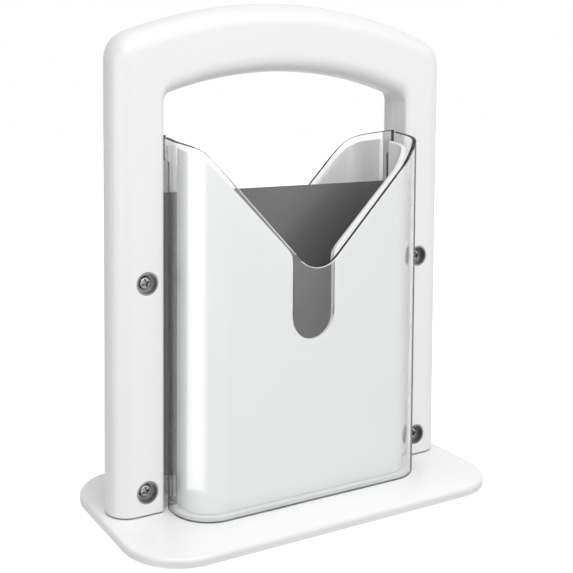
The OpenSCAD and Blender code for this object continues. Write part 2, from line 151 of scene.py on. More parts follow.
class ShieldSizes(bpy.types.PropertyGroup):
    """Sizes of the two clear shields and of the mouth that they share with the cradles."""

    half_width: length("Half width", "From the middle to a side wall's outer face", SHIELD[1].x)
    half_depth: length("Half depth", "From the middle to the front face", MIDDLE_Y - SHIELD[0].y)
    corner: length("Corner", "Radius of the upright corners", 18.8 * MM)
    wall: length("Wall", "Wall thickness", 2 * MM)
    top: length("Top", "Height of the top edge halfway back", 178 * MM)
    fall: angle("Fall", "Fall of the top edge from there to the front and the rear", 7.5)
    mouth_angle: angle("Mouth angle", "Slope of the mouth's two sides", 45.8)
    mouth_meet: length("Mouth meet", "Height where the mouth's straight sides would meet", 110.3 * MM)
    mouth_round: length("Mouth round", "Radius of the mouth's bottom", 14 * MM)
    bend: length("Bend", "Radius where the mouth runs out into the top edge", 16 * MM)
    tab_height: length("Tab height", "Height of the guide tabs beside the blade", 11 * MM)
    tab_gap: length("Tab gap", "From the blade's plane to a guide tab's end", 1.1 * MM)
    side_gap: length("Side gap", "From the blade's plane to a side wall's end", 4.8 * MM)
    rim: length("Rim", "Rounding along the rim", 0.45 * MM)
    flange: length("Flange", "Width of the flange along the bottom", 10 * MM)
    flange_height: length("Flange height", "Height of that flange", 2 * MM)


class CradleSizes(bpy.types.PropertyGroup):
    """Sizes of the two white cradles."""

    half_width: length("Half width", "From the middle to a side wall's outer face", CRADLE[1].x)
    half_depth: length("Half depth", "From the middle to the front face", MIDDLE_Y - CRADLE[0].y)
    corner: length("Corner", "Radius of the upright corners", 13.65 * MM)
    wall: length("Wall", "Wall thickness", 2.4 * MM)
    drop: length("Drop", "How much lower the top edge is than the shield's", 3.8 * MM)
    slope: angle("Mouth angle", "Slope of the mouth, a little wider than the shield's", 44.8)
    gap: length("Gap", "From the blade's plane to a side wall's end", 3.4 * MM)
    finger_half: length("Finger slot", "Half width of the finger slot", 11.4 * MM)
    finger_low: length("Finger low", "Height of the finger slot's lowest point", 80.8 * MM)
    finger_blend: length("Finger blend", "Radius where the mouth runs into the finger slot", 12 * MM)
    rim: length("Rim", "Rounding along the rim", 0.5 * MM)
    saddle_low: length("Saddle low", "From the wall's lower edge to the saddle's lowest point", 3.6 * MM)
    rib_deep: length("Rib depth", "Depth of a holding rib at its lower end", 6 * MM)
    rib_thick: length("Rib thickness", "Thickness of a rib", 1.6 * MM)
    rib_top: length("Rib top", "Height where a holding rib runs out", 105 * MM)


class HandleSizes(bpy.types.PropertyGroup):
    """Sizes of the arched handle, which is moulded in two halves."""

    half_width: length("Half width", "From the middle to a leg's outer side", HANDLE[1].x)
    half_depth: length("Half depth", "Half the depth of legs and grip", HANDLE[1].y - MIDDLE_Y)
    low: length("Low", "Height of the legs' lower ends, just above the base", HANDLE[0].z + 0.4 * MM)
    top: length("Top", "Height of the grip's highest point", 241.8 * MM)
    leg: length("Leg", "Width of a leg seen from the front", 25 * MM)
    grip: length("Grip", "Height of the grip's bar in the middle", 33 * MM)
    shoulder: length("Shoulder", "Radius of the two shoulders", 14 * MM)
    inner_corner: length("Inner corner", "Radius of the opening's corners", 6 * MM)
    leg_edge: length("Leg edge", "Radius along the legs' inner edges", 2.5 * MM)
    grip_edge: length("Grip edge", "Radius along the grip's lower edges", 8 * MM)
    end_edge: length("End edge", "Rounding at the legs' lower ends", 0.8 * MM)
    seam: length("Seam", "Where the halves meet, behind the middle", 1.9 * MM)
    seam_groove: length("Seam groove", "Width and depth of the chamfer along the seam", 0.22 * MM)
    recess: length("Recess", "Radius of a screw's recess", 5.3 * MM)
    recess_deep: length("Recess depth", "Depth of a screw's recess", 5 * MM)
    recess_lip: length("Recess lip", "Rounding of a recess's lip", 0.5 * MM)


class ScrewSizes(bpy.types.PropertyGroup):
    """Sizes of the screws with a cross recess."""

    x: length("Place", "From the middle to a handle screw", (WASHER[0].x + WASHER[1].x) / 2)
    upper: length("Upper", "Height of the upper handle screws", (WASHER[0].z + WASHER[1].z) / 2)
    lower: length("Lower", "Height of the lower handle screws", (LOW_WASHER[0].z + LOW_WASHER[1].z) / 2)
    head: length("Head", "Radius of a handle screw's head", 3.2 * MM)
    head_height: length("Head height", "Height of that head", 2.2 * MM)
    seat: length("Seat", "Thickness of the washer's disc under a handle screw's head", 0.8 * MM)
    shank: length("Shank", "Radius of a handle screw's shank", 1.95 * MM)
    cross_half: length("Cross", "Half length of the cross recess's arms", 2.1 * MM)
    cross_wide: length("Cross width", "Half width of those arms", 0.5 * MM)
    cross_deep: length("Cross depth", "Depth of the cross recess", 1.5 * MM)
    cross_turn: angle("Cross turn", "How far the cross recesses of the handle screws are turned", 20)
    reach: length("Reach", "Length of a handle screw's shank above its point", 13 * MM)
    flat_head: length("Flat head", "Radius of a stand screw's countersunk head", 3.3 * MM)
    flat_shank: length("Flat shank", "Radius of a stand screw's shank", 1.6 * MM)
    flat_reach: length("Flat reach", "Length of a stand screw above its point", 14.6 * MM)


class FinishColours(bpy.types.PropertyGroup):
    """Colours of the finishes."""

    white: colour("White", "White moulded plastic", (0.805, 0.805, 0.8))
    cradle: colour("Cradle", "White plastic of the cradles", (0.87, 0.87, 0.865))
    base: colour("Base", "White plastic of the base plate", (0.91, 0.91, 0.905))
    clear: colour("Clear", "Clear moulded plastic", (0.985, 0.99, 0.99))
    # Painted shade: a dark colour that stands in for the dark surroundings clear plastic shows on its rims
    # and at grazing angles
    clear_painted_shade: colour("Clear edge", "What the clear plastic's rims show", (0.03, 0.031, 0.032))
    # Painted light: a pale colour that stands in for light gathered in the flange and in the rounding of the
    # mouth's bottom
    clear_painted_light: colour("Clear pale", "What its flange and the mouth's bottom show", (0.82, 0.825, 0.825))
    coating: colour("Coating", "Non-stick coating of the blade", (0.165, 0.165, 0.167))
    steel: colour("Steel", "Plated steel of the screws", (0.42, 0.42, 0.43))
    washer: colour("Washer", "Grey plated steel of the cup washers", (0.38, 0.38, 0.385))
    rubber: colour("Rubber", "Rubber of the feet", (0.03, 0.03, 0.03))


class StageSettings(bpy.types.PropertyGroup):
    """The camera, the lamps and the floor."""

    place: FloatVectorProperty(
        name="Place", description="Where the camera stands", default=(-0.25285, -0.39211, 0.19987),
        size=3, subtype="XYZ", unit="LENGTH",
    )
    turn: angle("Turn", "How far the camera looks to the right of straight back", 28.315)
    down: angle("Down", "How far the camera looks down", 3.202)
    roll: angle("Roll", "How far the camera leans", 0.133)
    lens: FloatProperty(
        name="Lens", description="Focal length", default=59.43, subtype="DISTANCE_CAMERA", unit="CAMERA",
    )
    shift_x: FloatProperty(name="Shift X", description="Sideways shift of the frame", default=0.12678)
    shift_y: FloatProperty(name="Shift Y", description="Upward shift of the frame", default=-0.25182)
    ambient: FloatProperty(name="Ambient", description="Strength of the surrounding light", default=0.29)
    key: power("Key", "Power of the lamp in front on the right", 4.3)
    fill: power("Fill", "Power of the lamp in front on the left", 8.4)
    side: power("Side", "Power of the soft box on the left, which shows only in gloss", 16)
    top: power("Top", "Power of the lamp above", 5.2)
    plate: power("Plate", "Power of the base plate's own lamp above", 12.2)
    floor: colour("Floor", "Colour of the floor", (0.93, 0.93, 0.93))
    floor_glow: FloatProperty(
        name="Floor glow", description="Strength of the floor's own light near the object", default=0.62,
    )


# Meshes from grids of points


def grid_faces(rows, columns, around=False):
    """Quads of a grid of points, row after row; around also joins its last column to its first."""
    last = columns if around else columns - 1
    i, j = np.meshgrid(np.arange(rows - 1), np.arange(last), indexing="ij")
    a = i * columns + j
    b = i * columns + (j + 1) % columns
    return np.stack([a, b, b + columns, a + columns], -1).reshape(-1, 4)


def sheet(points, around=False):
    """A surface from a grid of points P(row, column)."""
    rows, columns = points.shape[:2]
    return points.reshape(-1, 3), grid_faces(rows, columns, around).tolist()


def tube(points):
    """A solid from closed sections P(section, point), with a flat cap on its first and last section."""
    rows, columns = points.shape[:2]
    faces = grid_faces(rows, columns, True).tolist()
    faces.append(list(range(columns))[::-1])
    faces.append([(rows - 1) * columns + k for k in range(columns)])
    return points.reshape(-1, 3), faces


def turned(profile, steps):
    """A solid of revolution: the profile's (radius, height) points go round the Z axis."""
    profile = np.asarray(profile, float)
    a = np.linspace(0, 2 * math.pi, steps, endpoint=False)
    x = profile[:, :1] * np.cos(a)
    y = profile[:, :1] * np.sin(a)
    z = np.repeat(profile[:, 1:], steps, 1)
    return sheet(np.stack([x, y, z], -1), around=True)


def moved(part, place, across, up):
    """The same part with its X axis along across, its Y axis along up and its origin at place."""
    across = np.asarray(across, float)
    up = np.asarray(up, float)
    points, faces = part
    return points @ np.stack([across, up, np.cross(across, up)]) + np.asarray(place, float), faces


def make_object(name, parts):
    """A smooth mesh object of the given parts, with doubles merged and faces pointing outwards."""
    points = np.concatenate([part[0] for part in parts])
    starts = np.cumsum([0] + [len(part[0]) for part in parts[:-1]])
    faces = [[v + int(start) for v in face] for part, start in zip(parts, starts) for face in part[1]]
    mesh = bpy.data.meshes.new(name)
    mesh.from_pydata(points.tolist(), [], faces)
    work = bmesh.new()
    work.from_mesh(mesh)
    bmesh.ops.remove_doubles(work, verts=work.verts, dist=MERGE)
    bmesh.ops.recalc_face_normals(work, faces=work.faces)
    work.to_mesh(mesh)
    work.free()
    mesh.shade_smooth()
    piece = bpy.data.objects.new(name, mesh)
    bpy.context.scene.collection.objects.link(piece)
    return piece


def keep_modifiers(piece):
    """Writes the result of a piece's modifiers into its mesh."""
    bpy.context.view_layer.update()
    seen = piece.evaluated_get(bpy.context.evaluated_depsgraph_get())
    mesh = bpy.data.meshes.new_from_object(seen)
    piece.modifiers.clear()
    piece.data = mesh


def stands_for(piece, body, name, slot):
    """The piece rides on the body and is shown instead of the named CAD node. The slot is not used."""
    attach(piece, body)
    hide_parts(name)


# Materials


def new_material(name):
    """An empty node material with its Principled shader."""
    material = bpy.data.materials.new(name)
    material.use_nodes = True
    return material, material.node_tree, material.node_tree.nodes["Principled BSDF"]


def put(made, **values):
    """Sets a node's inputs, or else its properties, by name."""
    for key, value in values.items():
        socket = made.inputs.get(key.replace("_", " "))
        if socket is None:
            setattr(made, key, value)
        else:
            socket.default_value = value


def node(tree, kind, **values):
    """Adds a node of that kind with the given inputs and properties."""
    made = tree.nodes.new(kind)
    put(made, **values)
    return made


def noise(tree, scale, detail, stretch=(1, 1, 1)):
    """Noise on object coordinates: the waves per metre, the octaves and the stretch along X, Y and Z."""
    place = node(tree, "ShaderNodeTexCoord")
    fit = node(tree, "ShaderNodeMapping", Scale=stretch)
    tree.links.new(place.outputs["Object"], fit.inputs["Vector"])
    made = node(tree, "ShaderNodeTexNoise", Scale=scale, Detail=detail)
    tree.links.new(fit.outputs["Vector"], made.inputs["Vector"])
    return made.outputs["Fac"]


def spread(tree, fac, low, high):
    """Maps a value from 0..1 to low..high."""
    made = node(tree, "ShaderNodeMapRange", To_Min=low, To_Max=high)
    tree.links.new(fac, made.inputs["Value"])
    return made.outputs["Result"]


def tint(tree, fac, dark, light):
    """A colour between dark and light."""
    made = node(tree, "ShaderNodeMix", data_type="RGBA")
    made.inputs["A"].default_value = (*dark, 1)
    made.inputs["B"].default_value = (*light, 1)
    tree.links.new(fac, made.inputs["Factor"])
    return made.outputs["Result"]


def bumped(tree, shader, height, depth, strength):
    """Raises the surface by a height map of the given depth in metres."""
    made = node(tree, "ShaderNodeBump", Strength=strength, Distance=depth)
    tree.links.new(height, made.inputs["Height"])
    tree.links.new(made.outputs["Normal"], shader.inputs["Normal"])


def painted(tree, shader, fac, paint, darkest, lightest=1.0):
    """Lets the colour go from darkest times to lightest times the paint."""
    mottle = tint(tree, fac, [c * darkest for c in paint], [c * lightest for c in paint])
    tree.links.new(mottle, shader.inputs["Base Color"])


def glossed(tree, shader, fac, smoothest, roughest):
    """Lets the roughness go from the smoothest to the roughest value."""
    tree.links.new(spread(tree, fac, smoothest, roughest), shader.inputs["Roughness"])


def mixed(tree, share, first, second):
    """The first shader, or the share of the second in its place."""
    made = node(tree, "ShaderNodeMixShader")
    tree.links.new(share, made.inputs["Fac"])
    tree.links.new(first, made.inputs[1])
    tree.links.new(second, made.inputs[2])
    return made.outputs["Shader"]


def moulded_plastic(name, paint, roughness):
    """Moulded plastic: a faint mottle in colour and gloss, and a very fine skin texture."""
    material, tree, shader = new_material(name)
    put(shader, IOR=1.46, Coat_Weight=0.15, Coat_Roughness=0.12)
    painted(tree, shader, noise(tree, scale=28, detail=4), paint, darkest=0.985)
    glossed(tree, shader, noise(tree, scale=140, detail=4), roughness - 0.04, roughness + 0.05)
    bumped(tree, shader, noise(tree, scale=900, detail=2), depth=0.03 * MM, strength=0.35)
    return material


def clear_plastic(name, paint, edge, stops):
    """Clear plastic that lets the light through, with a soft gloss over a sharp one.

    The stops (facing, share) say how much painted shade in the edge's colour takes the place of the
    clear plastic where the surface is seen from straight ahead, 0, to along it, 1. The shade stands in
    for the dark surroundings that the plastic shows by refraction near its edges; with a light edge
    colour the same mix paints light instead."""
    material, tree, shader = new_material(name)
    put(shader, Base_Color=(*paint, 1), Transmission_Weight=1.0, IOR=1.46, Specular_IOR_Level=0.3)
    put(shader, Coat_Weight=1.0, Coat_Roughness=0.3)
    glossed(tree, shader, noise(tree, scale=60, detail=3), 0.015, 0.04)
    bumped(tree, shader, noise(tree, scale=35, detail=2), depth=0.04 * MM, strength=0.2)
    # Painted shade, or painted light with a light colour: an opaque shader in the edge's colour that the
    # stops mix in place of the clear plastic
    inside = node(tree, "ShaderNodeBsdfPrincipled", Roughness=0.3, Specular_IOR_Level=0.1)
    painted(tree, inside, noise(tree, scale=90, detail=2), edge, darkest=1.0, lightest=1.2)
    graze = node(tree, "ShaderNodeLayerWeight", Blend=0.5)
    share = node(tree, "ShaderNodeValToRGB")
    elements = share.color_ramp.elements
    while len(elements) < len(stops):
        elements.new(0.5)
    for element, (at, value) in zip(elements, stops):
        element.position = at
        element.color = (value, value, value, 1)
    tree.links.new(graze.outputs["Facing"], share.inputs["Fac"])
    solid = mixed(tree, share.outputs["Color"], shader.outputs["BSDF"], inside.outputs["BSDF"])
    through = node(tree, "ShaderNodeBsdfTransparent", Color=(0.94, 0.945, 0.95, 1))
    path = node(tree, "ShaderNodeLightPath")
    lets_through = node(tree, "ShaderNodeMath", operation="MAXIMUM")
    tree.links.new(path.outputs["Is Shadow Ray"], lets_through.inputs[0])
    tree.links.new(path.outputs["Is Diffuse Ray"], lets_through.inputs[1])
    whole = mixed(tree, lets_through.outputs["Value"], solid, through.outputs["BSDF"])
    tree.links.new(whole, tree.nodes["Material Output"].inputs["Surface"])
    return material


def coated_steel(name, paint):
    """A sheet of steel with a dark non-stick coating: fine speckle, faint streaks and a satin gloss."""
    material, tree, shader = new_material(name)
    put(shader, Metallic=0.35)
    speckle = noise(tree, scale=1600, detail=2)
    painted(tree, shader, speckle, paint, darkest=0.8, lightest=1.25)
    glossed(tree, shader, noise(tree, scale=60, detail=5, stretch=(1, 1, 7)), 0.26, 0.42)
    bumped(tree, shader, speckle, depth=0.02 * MM, strength=0.4)
    return material


def plated_steel(name, paint, roughness):
    """Plated steel with very fine marks and small stains."""
    material, tree, shader = new_material(name)
    put(shader, Metallic=1.0)
    stain = noise(tree, scale=700, detail=4)
    painted(tree, shader, stain, paint, darkest=0.75)
    glossed(tree, shader, stain, roughness - 0.06, roughness + 0.08)
    bumped(tree, shader, noise(tree, scale=3000, detail=2), depth=0.01 * MM, strength=0.3)
    return material


def foot_rubber(name, paint):
    """Matt rubber with a fine grain."""
    material, tree, shader = new_material(name)
    grain = noise(tree, scale=1800, detail=3)
    painted(tree, shader, grain, paint, darkest=0.7, lightest=1.3)
    glossed(tree, shader, grain, 0.7, 0.9)
    bumped(tree, shader, grain, depth=0.04 * MM, strength=0.4)
    return material


def looked_at(tree):
    """One for rays from the camera, mirrored rays and rays through clear plastic, else zero."""
    path = node(tree, "ShaderNodeLightPath")
    value = path.outputs["Is Camera Ray"]
    for name in ("Is Glossy Ray", "Is Transmission Ray"):
        either = node(tree, "ShaderNodeMath", operation="MAXIMUM")
        tree.links.new(value, either.inputs[0])
        tree.links.new(path.outputs[name], either.inputs[1])
        value = either.outputs["Value"]
    return value


def dress(name, material):
    """Puts a material on a CAD node."""
    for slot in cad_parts[name].material_slots:
        slot.material = material


# The walls of shields and cradles


def plan_point(s, wall):
    """A point (x, y) of a wall's outer face at the distance s along it from the middle of the front.

    The wall is straight up to its corner, turns it on a quarter circle and runs back along the side.
    y is measured from the middle, halfway back, and is negative in front of it."""
    corner = wall.corner
    straight = wall.half_width - corner
    bend = corner * math.pi / 2
    d = np.abs(s)
    turn = np.clip((d - straight) / corner, 0, math.pi / 2)
    x = np.minimum(d, straight) + corner * np.sin(turn)
    y = corner - wall.half_depth - corner * np.cos(turn) + np.maximum(d - straight - bend, 0)
    return np.sign(s) * x, y


def half_length(wall, end):
    """Length of a wall's outer face from the middle of the front to its end, in front of the middle."""
    return wall.half_width - wall.corner + wall.corner * math.pi / 2 + wall.half_depth - wall.corner - end


def mouth_height(x, sizes, drop, slope):
    """Height of the mouth's side at the distance x from the middle, on the untilted profile.

    It is the straight side up to where a circle takes over, which lies under the top edge."""
    level = sizes.top - drop - sizes.half_depth * math.tan(sizes.fall)
    meet = (level - sizes.mouth_meet) / math.tan(slope)
    run = sizes.bend * math.tan(slope / 2)
    start = meet - run * math.cos(slope)
    centre = meet + run
    line = sizes.mouth_meet + x * math.tan(slope)
    reach = np.clip(centre - x, 0, sizes.bend)
    arc = level - sizes.bend + np.sqrt(sizes.bend**2 - reach**2)
    return np.where(x < start, line, arc)


def spaced(points, count):
    """The same line of points, with count points at even distances along it."""
    points = np.asarray(points, float)
    way = np.concatenate([[0], np.cumsum(np.linalg.norm(np.diff(points, axis=0), axis=1))])
    at = np.linspace(0, way[-1], count)
    return np.stack([np.interp(at, way, points[:, k]) for k in range(points.shape[1])], -1)


def rim_line(mouth, wall, drop, slope, end, start, count):
    """The right half of a wall's top edge, as (distance along the wall, height on the untilted profile).

    It begins with the given points in the middle and follows the mouth's side to the wall's end, which
    lies the distance end in front of the middle."""
    s = np.linspace(start[-1][0], half_length(wall, end), 400)[1:]
    x, y = plan_point(s, wall)
    side = np.stack([s, mouth_height(x, mouth, drop, slope)], -1)
    return spaced(np.concatenate([start, side]), count)


def round_start(sizes):
    """The round bottom of the shield's mouth: an arc that runs tangent into the straight side."""
    a = np.linspace(0, sizes.mouth_angle, 24)
    low = sizes.mouth_meet + sizes.mouth_round / math.cos(sizes.mouth_angle)
    return np.stack([sizes.mouth_round * np.sin(a), low - sizes.mouth_round * np.cos(a)], -1)


def finger_start(sizes, cradle):
    """The finger slot: half its round bottom, its straight side, and the arc into the mouth's side."""
    half = cradle.finger_half
    blend = cradle.finger_blend
    slope = cradle.slope
    a = np.linspace(0, math.pi / 2, 24)
    bottom = np.stack([half * np.sin(a), cradle.finger_low + half - half * np.cos(a)], -1)
    high = sizes.mouth_meet + half * math.tan(slope) - blend * math.tan((math.pi / 2 - slope) / 2)
    b = np.linspace(0, math.pi / 2 - slope, 16)
    arc = np.stack([half + blend - blend * np.cos(b), high + blend * np.sin(b)], -1)
    return np.concatenate([bottom, arc])


def wall_points(mouth, wall, rim, low, rows, end_shift=None):
    """The outer face of a front wall as a grid P(row, column).

    A column rises from the bottom edge to its point on the rim. Along it the distance from the middle
    goes over from an uneven spacing at the bottom, which is wider in the middle, to the rim's own, by
    the square of what is left to rise: s = s_rim + (s_low - s_rim) (1 - v)^2. The rim's height is the
    profile's, tilted about the foot of the front face: z = m + (p - m) / cos f + (y + d) tan f."""
    count = len(rim)
    reach = rim[-1, 0]
    s_low = reach * (np.arange(count) / (count - 1)) ** 0.7
    v = rows[:, None]
    s = rim[:, 0] + (s_low - rim[:, 0]) * (1 - v) ** 2
    x, y = plan_point(rim[:, 0], wall)
    top = (mouth.mouth_meet + (rim[:, 1] - mouth.mouth_meet) / math.cos(mouth.fall)
           + (y + mouth.half_depth) * math.tan(mouth.fall))
    z = low + (top - low) * v
    if end_shift is not None:
        s = s - end_shift(s, z, reach)
    x, y = plan_point(s, wall)
    right = np.stack([x, y + MIDDLE_Y, z], -1)
    left = right[:, :0:-1] * np.array([-1, 1, 1])
    return np.concatenate([left, right], 1)


def as_front(points):
    """Leaves a grid in the front half."""
    return points


def as_rear(points):
    """Mirrors a grid from the front half to the rear half."""
    return (points * np.array([1, -1, 1]) + np.array([0, 2 * MIDDLE_Y, 0]))[:, ::-1]


# The two sides of the blade: the side's name, how far the blade lies towards it, and how its grids turn
HALVES = (("front", BLADE_AHEAD, as_front), ("rear", -BLADE_AHEAD, as_rear))


def thicken(piece, thickness, rim, rim_slot=0, inner_slot=0):
    """Gives a wall its thickness, inwards, and rounds its rim."""
    solid = piece.modifiers.new("Wall", "SOLIDIFY")
    solid.thickness = thickness
    solid.offset = -1
    solid.use_even_offset = True
    solid.material_offset = inner_slot
    solid.material_offset_rim = rim_slot
    bevel = piece.modifiers.new("Rim", "BEVEL")
    bevel.width = rim
    bevel.segments = 4
    bevel.material = rim_slot
    bevel.limit_method = "ANGLE"
    bevel.angle_limit = RIM_BEND
    bevel.use_clamp_overlap = False
    even = piece.modifiers.new("Even", "WEIGHTED_NORMAL")
    even.keep_sharp = True


def wall_object(name, points):
    """An object of one open wall whose faces point away from the space inside."""
    piece = make_object(name, [sheet(points)])
    mesh = piece.data
    outward = sum((f.center.y - MIDDLE_Y) * f.normal.y * f.area for f in mesh.polygons)
    if outward < 0:
        mesh.flip_normals()
    return piece


def band(wall, inset, inner, low, high, end):
    """A flat strip inside a wall, bent in plan as the wall is: the bottom flange of a shield.

    Its sections are rectangles from the depth inset to the depth inner, square to the wall's plan."""
    reach = half_length(wall, end)
    s = np.linspace(-reach, reach, 181)
    x, y = plan_point(s, wall)
    run = np.stack([np.gradient(x), np.gradient(y)], -1)
    run /= np.linalg.norm(run, axis=1)[:, None]
    inward = np.stack([-run[:, 1], run[:, 0]], -1)
    rows = []
    for depth, z in ((inset, low), (inner, low), (inner, high), (inset, high)):
        flat = np.stack([x, y + MIDDLE_Y], -1) + inward * depth
        rows.append(np.concatenate([flat, np.full((len(s), 1), z)], 1))
    return np.stack(rows, 1)


class SLICER_OT_shields(bpy.types.Operator):
    """Makes the two clear shields"""

    bl_idname = "slicer.shields"
    bl_label = "Clear Shields"

    def execute(self, context):
        sizes = context.scene.slicer_shield
        finishes = self.finishes(context.scene.slicer_colours)
        tab_low = sizes.top - sizes.tab_height
        tab_run = 20 * MM
        tab_step = 1.2 * MM

        def tab_shift(s, z, reach):
            """Draws the wall's end back below the guide tab, over the last stretch of the wall."""
            near = np.clip((s - reach + tab_run) / tab_run, 0, 1)
            below = np.clip((tab_low + tab_step / 2 - z) / tab_step, 0, 1)
            below = below * below * (3 - 2 * below)
            return (sizes.side_gap - sizes.tab_gap) * near * below

        # Rows from the bottom, 0, to the rim, 1, close together where the tab begins
        tab_rows = np.linspace(0.928, 0.95, 12)
        rows = np.concatenate([np.linspace(0, 0.92, 30), tab_rows, np.linspace(0.96, 1, 5)])
        for half, ahead, turn in HALVES:
            name = half + "_shield"
            tab_end = ahead + sizes.tab_gap
            edge = rim_line(sizes, sizes, 0, sizes.mouth_angle, tab_end, round_start(sizes), count=170)
            points = turn(wall_points(sizes, sizes, edge, BASE_TOP, rows, tab_shift))
            strip = turn(band(sizes, sizes.wall + HAIR, sizes.flange, BASE_TOP + HAIR,
                              BASE_TOP + sizes.flange_height, ahead + sizes.side_gap))
            piece = wall_object(name + "_clear", points)
            for material in finishes:
                piece.data.materials.append(material)
            thicken(piece, sizes.wall, sizes.rim, RIM_SLOT, INNER_SLOT)
            self.sort_rim(piece, tab_low if half == "front" else 0, sizes.mouth_meet + sizes.mouth_round)
            stands_for(piece, "stand", name, "clear_shield")
            low = make_object(name + "_flange", [tube(strip)])
            low.data.set_sharp_from_angle(angle=SHARP)
            # Painted light: the flange takes the pale finish, which stands in for light gathered in the
            # plastic
            low.data.materials.append(finishes[PAINTED_LIGHT_SLOT])
            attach(low, "stand")
        return {"FINISHED"}

    def finishes(self, colours):
        """The clear plastic of the outer face, the rim and the inner face with painted shade, and of the
        places with painted light.
        """
        clear = tuple(colours.clear)
        edge = tuple(colours.clear_painted_shade)
        pale = tuple(colours.clear_painted_light)
        # Painted shade on the outer face near its outline, on the rim all round, and on the inner face only
        # at the most grazing angles
        outer = [(0, 0), (0.12, 0), (0.4, 0.08), (0.68, 0.2), (0.78, 1), (1, 1)]
        rim = [(0, 0.75), (0.3, 0.75), (0.5, 1), (1, 1)]
        inner = [(0, 0), (0.8, 0), (0.95, 0.4), (1, 0.4)]
        return (
            clear_plastic("clear_plastic", clear, edge, outer),
            clear_plastic("clear_plastic_rim", clear, edge, rim),
            clear_plastic("clear_plastic_inside", clear, edge, inner),
            # Painted light: the finish of the flange and the mouth's bottom, a pale colour mixed in at every
            # angle
            clear_plastic("clear_plastic_foot", clear, pale, [(0, 0.6), (1, 0.6)]),
        )

    def sort_rim(self, piece, clear_from, mouth_low):
        """Gives some faces of the rim another finish than the rim's painted shade.

        Clear are the upright ends above the height clear_from, the bottom face and the rounding of the
        slanted edges. Painted light goes on the rounding of the mouth's bottom, below mouth_low: a pale
        finish that stands in for light the plastic gathers there."""
        keep_modifiers(piece)
        for face in piece.data.polygons:
            if face.material_index != RIM_SLOT:
                continue
            x = abs(face.normal.x)
            y = abs(face.normal.y)
            z = face.normal.z
            upright = z < 0.1 and (face.center.z > clear_from or z < -0.95)
            slanted = y > 0.7 and x > 0.5 * z > 0.05
            if upright or slanted:
                face.material_index = INNER_SLOT
            # Painted light on the rounding of the mouth's bottom
            if face.center.z < mouth_low and y > 0.3 and z > 0.1 and x < 0.9 * z:
                face.material_index = PAINTED_LIGHT_SLOT


class SLICER_OT_cradles(bpy.types.Operator):
    """Makes the two white cradles with their saddles and ribs"""

    bl_idname = "slicer.cradles"
    bl_label = "White Cradles"

    def execute(self, context):
        mouth = context.scene.slicer_shield
        sizes = context.scene.slicer_cradle
        white = moulded_plastic("cradle_plastic", context.scene.slicer_colours.cradle, roughness=0.34)
        low = CRADLE[0].z
        rows = np.linspace(0, 1, 60) ** 0.85
        for half, ahead, turn in HALVES:
            name = half + "_cradle"
            end = ahead + sizes.gap
            start = finger_start(mouth, sizes)
            rim = rim_line(mouth, sizes, sizes.drop, sizes.slope, end, start, count=240)
            piece = wall_object(name + "_wall", turn(wall_points(mouth, sizes, rim, low, rows)))
            piece.data.materials.append(white)
            thicken(piece, sizes.wall, sizes.rim)
            stands_for(piece, "stand", name, "cradle_plastic")
            inside = make_object(name + "_saddle", [tube(turn(p)) for p in self.inside(sizes, low, end)])
            inside.data.set_sharp_from_angle(angle=SHARP)
            inside.data.materials.append(white)
            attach(inside, "stand")
        return {"FINISHED"}

    def inside(self, sizes, low, end):
        """The saddle, a half round trough, and the holding ribs that stand on it."""
        radius = sizes.half_width - sizes.wall
        centre = low + sizes.saddle_low + radius
        front = MIDDLE_Y - sizes.half_depth + sizes.wall - SINK
        yield self.trough(sizes, radius, centre, MIDDLE_Y - end)
        for x in RIB_PLACES:
            foot = centre - math.sqrt((radius + RIB_FOOT_SINK) ** 2 - x * x)
            yield self.rib(x, foot, front, sizes)

    def trough(self, sizes, radius, centre, back):
        """Sections (y, r) of the trough's wall, with a round lip at the blade, carried round an X-Z circle.

        In front it ends inside the cradle's wall, whose corners are round in plan. Its own wall is a
        tenth of a millimetre thinner than the cradle's, so that its sides lie inside the cradle's sides."""
        turn = np.linspace(-math.pi / 2, math.pi / 2, 121)
        lip = np.linspace(math.pi / 2, -math.pi / 2, 9)
        wall = sizes.wall - 0.1 * MM
        half = wall / 2
        r = np.concatenate([[0], half - half * np.sin(lip), [wall]]) + radius
        x = np.sin(turn)[:, None] * r
        z = centre - np.cos(turn)[:, None] * r
        inside = sizes.corner - sizes.wall + SINK
        over = np.clip(np.abs(x) - sizes.half_width + sizes.corner, 0, inside)
        front = MIDDLE_Y - sizes.half_depth + sizes.corner - np.sqrt(inside**2 - over**2)
        y = np.broadcast_to(np.concatenate([[0], back - half + half * np.cos(lip), [0]]), x.shape).copy()
        y[:, 0] = front[:, 0]
        y[:, -1] = front[:, -1]
        return np.stack([x, y, z], -1)

    def rib(self, x, foot, front, sizes):
        """Sections with a round nose. The depth runs out towards the top: d = deep min(1, 1.12 (1 - v))."""
        v = np.linspace(0, 1, 24)[:, None]
        a = np.linspace(0, math.pi, 13)
        half = sizes.rib_thick / 2
        deep = SINK + sizes.rib_deep * np.clip(1.12 - v * 1.12, 0.02, 1)
        nose_x = np.concatenate([[-half], -half * np.cos(a), [half]])
        nose_y = np.concatenate([[0], np.ones_like(a), [0]])
        bulge = np.concatenate([[0], half * np.sin(a) - half, [0]])
        y = front + nose_y * deep + bulge
        z = foot + (sizes.rib_top - foot) * v
        return np.stack(np.broadcast_arrays(x + nose_x, y, z), -1)


